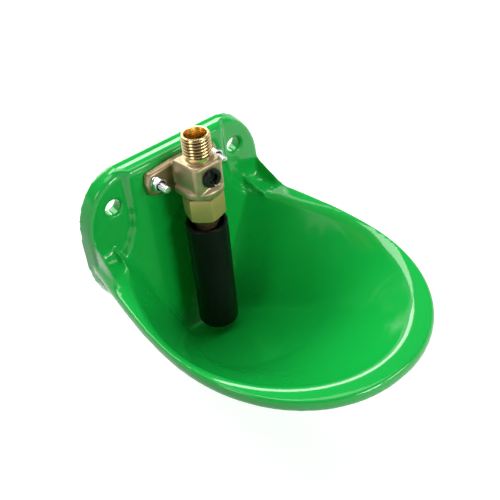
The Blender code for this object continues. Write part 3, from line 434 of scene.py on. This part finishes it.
cast_brass, shader, wires = start_finish("sand_cast_brass", Metallic=0.75)
place = object_place(wires)
patches = noise(wires, place, 90.0)
grain = noise(wires, place, 1500.0, detail=4.0)
pits = noise(wires, place, 600.0, detail=2.0)
dull_brass = (0.27, 0.205, 0.105)
plain_brass = (0.36, 0.282, 0.148)
rubbed_brass = (0.47, 0.375, 0.210)
grain_tips = (0.56, 0.46, 0.30, 1)
worn = wires.node("ShaderNodeValToRGB", {"stops": (
    (0.30, dull_brass), (0.52, plain_brass), (0.72, rubbed_brass),
)}, {0: patches})
blend_colours(wires, grain * 0.4, worn, grain_tips).into(shader.inputs["Base Color"])
(grain * 0.14 + patches * 0.12 + 0.24).into(shader.inputs["Roughness"])
relief(wires, grain * 0.4 + pits * 0.6, distance=0.0002, strength=0.5).into(
    shader.inputs["Normal"]
)
casting.data.materials.append(cast_brass)
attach(casting, "bowl")
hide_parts("valve_body")

# Inlet stub: the end of the brass casting, turned bright in a lathe, threaded outside and bored.
# The thread is one helix over a plain neck, trimmed by the stub's outline. Its crests stand
# 2.5 mm apart, as the photograph shows them, and painted shade darkens its roots.
thread_pitch = 0.0025
root_radius = 0.00932
neck_radius = 0.0098
outline_radius = 0.011
bore_radius = 0.008
bore_mouth_radius = 0.0087
chamfer_start = stub_top - 0.0018
chamfer_radius = 0.0096
end_radius = 0.0094
end_level = stub_top - 0.00002
neck_top = block_top + 0.0038
bpy.ops.object.select_all(action="DESELECT")
bpy.ops.mesh.primitive_plane_add(size=0.001, location=(0, valve_axis_y, 0))
thread = bpy.context.object
thread.name = "inlet_thread"
bpy.ops.object.mode_set(mode="EDIT")
bpy.ops.mesh.select_all(action="SELECT")
bpy.ops.mesh.merge(type="CENTER")
bpy.ops.transform.translate(value=(root_radius, 0, block_top))
# One turn's outline, as steps outwards in metres and upwards in shares of the pitch.
for radial, share in (
    (0.0001, 0.09), (0.00096, 0.31), (0.0001, 0.10),
    (-0.0001, 0.10), (-0.00096, 0.31), (-0.0001, 0.09),
):
    step = (radial, 0, share * thread_pitch)
    bpy.ops.mesh.extrude_region_move(TRANSFORM_OT_translate={"value": step})
bpy.ops.object.mode_set(mode="OBJECT")
apply_modifier(
    thread, "SCREW", "helix", angle=math.tau, screw_offset=thread_pitch, iterations=10,
    steps=turning_steps, render_steps=turning_steps, use_merge_vertices=True,
)
bpy.ops.object.mode_set(mode="EDIT")
bpy.ops.mesh.select_all(action="SELECT")
bpy.ops.mesh.remove_doubles(threshold=0.000002)
bpy.ops.mesh.bisect(
    plane_co=(0, 0, neck_top - 0.0003), plane_no=(0, 0, 1), threshold=0.0000005,
    use_fill=True, clear_inner=True,
)
bpy.ops.mesh.select_all(action="SELECT")
bpy.ops.mesh.bisect(
    plane_co=(0, 0, stub_top), plane_no=(0, 0, 1), threshold=0.0000005,
    use_fill=True, clear_outer=True,
)
bpy.ops.mesh.select_all(action="SELECT")
bpy.ops.mesh.normals_make_consistent(inside=False)
bpy.ops.object.mode_set(mode="OBJECT")
bpy.ops.object.transform_apply(location=True, rotation=False, scale=False)
combine(thread, "UNION", lathed("neck", (
    (0, block_top - 0.0006), (neck_radius, block_top - 0.0006), (neck_radius, neck_top - 0.0004),
    (root_radius - 0.0003, neck_top), (0, neck_top),
)))
combine(thread, "INTERSECT", lathed("outline", (
    (0, block_top - 0.001), (outline_radius, block_top - 0.001),
    (outline_radius, chamfer_start), (chamfer_radius, stub_top - 0.0001),
    (end_radius, end_level), (0, end_level),
)))
combine(thread, "DIFFERENCE", lathed("bore", (
    (0, block_top - 0.002), (bore_radius, block_top - 0.002), (bore_radius, stub_top - 0.0006),
    (bore_mouth_radius, stub_top + 0.001), (0, stub_top + 0.001),
)))
pick(thread)
bpy.ops.object.shade_smooth_by_angle(angle=math.radians(38))


def coordinate(wires, place, axis):
    """One coordinate of a place: axis 0 for x, 1 for y and 2 for z."""
    return wires.node("ShaderNodeSeparateXYZ", inputs={0: place}, output=axis)


def distance_across(wires, first, second):
    """The distance from an axis, from the two coordinates across it."""
    return wires.maths("SQRT", first * first + second * second)


machined_brass, shader, wires = start_finish("machined_brass", Metallic=1.0)
place = object_place(wires)
streaks = noise(wires, object_place(wires, (1.0, 1.0, 0.03)), 420.0, detail=2.0)
turning = noise(wires, object_place(wires, (0.04, 0.04, 1.0)), 2600.0, detail=2.0)
tarnish = noise(wires, place, 160.0)
from_axis = distance_across(
    wires, coordinate(wires, place, 0), coordinate(wires, place, 1) - valve_axis_y
)
height = coordinate(wires, place, 2)
in_bore = wires.maths("LESS_THAN", from_axis, bore_radius + 0.0006)
# Painted shade: out to this radius from the roots, the thread is coloured darker, as if its grooves
# were shaded.
root_shade_radius = 0.0102
above_neck = wires.maths("GREATER_THAN", height, neck_top)
below_end = wires.maths("LESS_THAN", height, stub_top - 0.0013)
root_shade_mask = above_neck * below_end * wires.node("ShaderNodeMapRange", inputs={
    0: from_axis, 1: root_radius + 0.0002, 2: root_shade_radius, 3: 1.0, 4: 0.0,
})
tarnished_gold = (0.64, 0.47, 0.21, 1)
bright_gold = (0.78, 0.61, 0.31, 1)
painted_root_shade = (0.13, 0.075, 0.025, 1)
bore_shade = (0.52, 0.32, 0.08, 1)
bore_shine = (0.92, 0.70, 0.30, 1)
gold = blend_colours(wires, tarnish, tarnished_gold, bright_gold)
# Painted shade darkens the thread's roots.
outside = blend_colours(wires, root_shade_mask, gold, painted_root_shade)
inside = blend_colours(wires, streaks, bore_shade, bore_shine)
blend_colours(wires, in_bore, outside, inside).into(shader.inputs["Base Color"])
(turning * 0.12 + streaks * 0.10 + 0.13).into(shader.inputs["Roughness"])
tool_marks = streaks * in_bore + turning * (1.0 - in_bore)
relief(wires, tool_marks, distance=0.00004, strength=0.6).into(shader.inputs["Normal"])
thread.data.materials.append(machined_brass)
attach(thread, "bowl")
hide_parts("valve_body")

# Outlet nut: a brass hexagon with its seat and spout, screwed up into the casting.
# It is turned from drawn bar, so its flats are smooth with fine lines along them. Its neck below
# the hexagon is more metallic and smoother, with painted shade darkening its colour.


def dress(node_name, piece_name, edge, finish, body, steps=2):
    """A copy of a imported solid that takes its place, with each sharp edge rounded a little."""
    piece = merged_copy(node_name, piece_name)
    apply_modifier(piece, "DECIMATE", "join_flats", decimate_type="DISSOLVE", angle_limit=0.02)
    apply_modifier(
        piece, "BEVEL", "soft_edges", width=edge, segments=steps, limit_method="ANGLE",
        angle_limit=math.radians(28), use_clamp_overlap=True,
    )
    pick(piece)
    bpy.ops.object.shade_smooth_by_angle(angle=math.radians(35))
    piece.data.materials.append(finish)
    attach(piece, body)
    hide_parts(node_name)


bar_brass, shader, wires = start_finish("drawn_bar_brass")
place = object_place(wires)
drawn = noise(wires, object_place(wires, (1.0, 1.0, 0.05)), 1300.0)
stain = noise(wires, place, 110.0, detail=4.0)
neck_length = 0.0118
hex_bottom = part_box("outlet_nut")[0][2] + neck_length
on_neck = wires.maths("LESS_THAN", coordinate(wires, place, 2), hex_bottom)
stained_bar = (0.52, 0.36, 0.13, 1)
clean_bar = (0.64, 0.46, 0.185, 1)
# Painted shade: the neck below the hexagon is coloured darker, as the shade between the hexagon and
# the tube.
painted_neck_shade = (0.30, 0.215, 0.10, 1)
hexagon = blend_colours(wires, stain, stained_bar, clean_bar)
blend_colours(wires, on_neck, hexagon, painted_neck_shade).into(shader.inputs["Base Color"])
(on_neck * 0.35 + 0.45).into(shader.inputs["Metallic"])
(drawn * 0.10 + stain * 0.14 - on_neck * 0.10 + 0.22).into(shader.inputs["Roughness"])
relief(wires, drawn, distance=0.00003, strength=0.5).into(shader.inputs["Normal"])
dress("outlet_nut", "outlet_hexagon", 0.0004, bar_brass, "bowl", steps=3)

# Gasket and seal: black rubber rings, moulded and slightly dull.
# The gasket is pinched between the nut and the casting, and the seal closes on the nut's seat.
rubber, shader, wires = start_finish("moulded_rubber", IOR=1.5)
place = object_place(wires)
bloom = noise(wires, place, 240.0, detail=4.0)
mould_grain = noise(wires, place, 2200.0, detail=2.0)
rubber_black = (0.014, 0.014, 0.014, 1)
bloom_grey = (0.032, 0.031, 0.030, 1)
blend_colours(wires, bloom, rubber_black, bloom_grey).into(shader.inputs["Base Color"])
(bloom * 0.2 + 0.5).into(shader.inputs["Roughness"])
relief(wires, mould_grain, distance=0.00004, strength=0.5).into(shader.inputs["Normal"])
dress("nut_gasket", "rubber_gasket", 0.00025, rubber, "bowl")
dress("valve_seal", "rubber_seal", 0.0003, rubber, "tube")

# Plunger: a turned stainless head and stem, which the tube tips off the seat.
# A washer and a lock nut hold the tube's hub on its lower end.
stainless, shader, wires = start_finish("turned_stainless", Metallic=1.0)
place = object_place(wires)
rings = noise(wires, object_place(wires, (0.05, 0.05, 1.0)), 3000.0, detail=2.0)
cloud = noise(wires, place, 180.0)
grey_steel = (0.52, 0.52, 0.53, 1)
pale_steel = (0.66, 0.66, 0.65, 1)
blend_colours(wires, cloud, grey_steel, pale_steel).into(shader.inputs["Base Color"])
(rings * 0.14 + cloud * 0.08 + 0.16).into(shader.inputs["Roughness"])
relief(wires, rings, distance=0.00003, strength=0.6).into(shader.inputs["Normal"])
dress("plunger", "turned_plunger", 0.0003, stainless, "tube")
dress("hub_washer", "stainless_washer", 0.0002, stainless, "tube")
dress("tube_lock_nut", "stainless_lock_nut", 0.0003, stainless, "tube")

# Return spring: cold-wound stainless wire with closed ends, pressed between casting and plunger.
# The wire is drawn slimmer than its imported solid, to stay clear of the plunger when that tips.
wire_clearance = 0.0002
coil = merged_copy("return_spring", "wound_spring")
bpy.ops.object.mode_set(mode="EDIT")
bpy.ops.mesh.select_all(action="SELECT")
bpy.ops.mesh.normals_make_consistent(inside=False)
bpy.ops.transform.shrink_fatten(value=-wire_clearance)
bpy.ops.object.mode_set(mode="OBJECT")
bpy.ops.object.shade_smooth_by_angle(angle=math.radians(50))
coil.data.materials.append(stainless)
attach(coil, "spring")
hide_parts("return_spring")

# Push tube: a black plastic tube with rounded ends and a three-armed hub inside.
# The moulding is satin, with faint flow marks down its length and a few specks of dust.
black_plastic, shader, wires = start_finish("satin_black_plastic", Specular_IOR_Level=0.16)
place = object_place(wires)
flow = noise(wires, object_place(wires, (1.0, 1.0, 0.06)), 420.0)
specks = noise(wires, place, 1900.0)
dust = wires.maths("GREATER_THAN", specks, 0.70)
tube_black = (0.0045, 0.0050, 0.0048, 1)
dusty_black = (0.014, 0.016, 0.0155, 1)
blend_colours(wires, dust * 0.12 + flow * 0.3, tube_black, dusty_black).into(
    shader.inputs["Base Color"]
)
(flow * 0.10 + specks * 0.08 + 0.24).into(shader.inputs["Roughness"])
flow_marks = flow * 0.6 + specks * 0.4
relief(wires, flow_marks, distance=0.00003, strength=0.5).into(shader.inputs["Normal"])
dress("push_tube", "black_push_tube", 0.0005, black_plastic, "tube", steps=3)

# Flow screw: a slotted black nylon screw that throttles the water, with a rubber ring in its groove.
# The moulded nylon has a slight grain and an even, low sheen.
nylon, shader, wires = start_finish("black_nylon", Specular_IOR_Level=0.3)
place = object_place(wires)
grain = noise(wires, place, 900.0)
nylon_black = (0.004, 0.004, 0.005, 1)
nylon_grey = (0.012, 0.012, 0.013, 1)
blend_colours(wires, grain, nylon_black, nylon_grey).into(shader.inputs["Base Color"])
(grain * 0.2 + 0.22).into(shader.inputs["Roughness"])
relief(wires, grain, distance=0.00005, strength=0.6).into(shader.inputs["Normal"])
dress("flow_screw", "nylon_flow_screw", 0.0003, nylon, "flow_screw", steps=3)
dress("flow_screw_o_ring", "rubber_o_ring", 0.0001, rubber, "flow_screw")

# Bolts through the bowl and the flange: M6 in bright zinc, with nuts and spring washers in front.
# Zinc plate is bluish white and faintly mottled. Relief draws the threads on the bolts' ends, and
# a painted dark ring stands in for the shade in the mouth of each nut.
zinc, shader, wires = start_finish("bright_zinc", Metallic=1.0)
place = object_place(wires)
mottle = noise(wires, place, 500.0, detail=4.0)
cast = noise(wires, place, 120.0, detail=2.0)
bolt_x = 0.026
bolt_z = 0.0128
bolt_pitch = 0.001
shank_radius = 0.0031
mouth_radius = 0.0040
aside = wires.maths("ABSOLUTE", coordinate(wires, place, 0)) - bolt_x
along = coordinate(wires, place, 1)
above = coordinate(wires, place, 2) - bolt_z
around = wires.maths("ARCTAN2", above, aside)
turns = wires.maths("SINE", along * (math.tau / bolt_pitch) + around)
from_bolt = distance_across(wires, aside, above)
on_shank = wires.maths("LESS_THAN", from_bolt, shank_radius)
# Painted shade: a ring around each bolt, inside the nut's mouth, is coloured near black.
mouth_shade_mask = wires.maths("LESS_THAN", from_bolt, mouth_radius) * (1.0 - on_shank)
grey_zinc = (0.46, 0.47, 0.49, 1)
pale_zinc = (0.80, 0.79, 0.78, 1)
painted_mouth_shade = (0.05, 0.05, 0.06, 1)
plated = blend_colours(wires, mottle * 0.6 + cast * 0.4, grey_zinc, pale_zinc)
blend_colours(wires, mouth_shade_mask, plated, painted_mouth_shade).into(shader.inputs["Base Color"])
(mottle * 0.22 + 0.12).into(shader.inputs["Roughness"])
cut_thread = turns * on_shank * 0.5 + mottle * 0.1
relief(wires, cut_thread, distance=0.0003, strength=0.5).into(shader.inputs["Normal"])
for word in ("left", "right"):
    dress(f"bolt_{word}", f"zinc_bolt_{word}", 0.0003, zinc, "bowl")
    dress(f"flat_washer_{word}", f"zinc_washer_{word}", 0.0002, zinc, "bowl")
    dress(f"spring_washer_{word}", f"zinc_spring_washer_{word}", 0.0002, zinc, "bowl")
    dress(f"hex_nut_{word}", f"zinc_nut_{word}", 0.0003, zinc, "bowl")
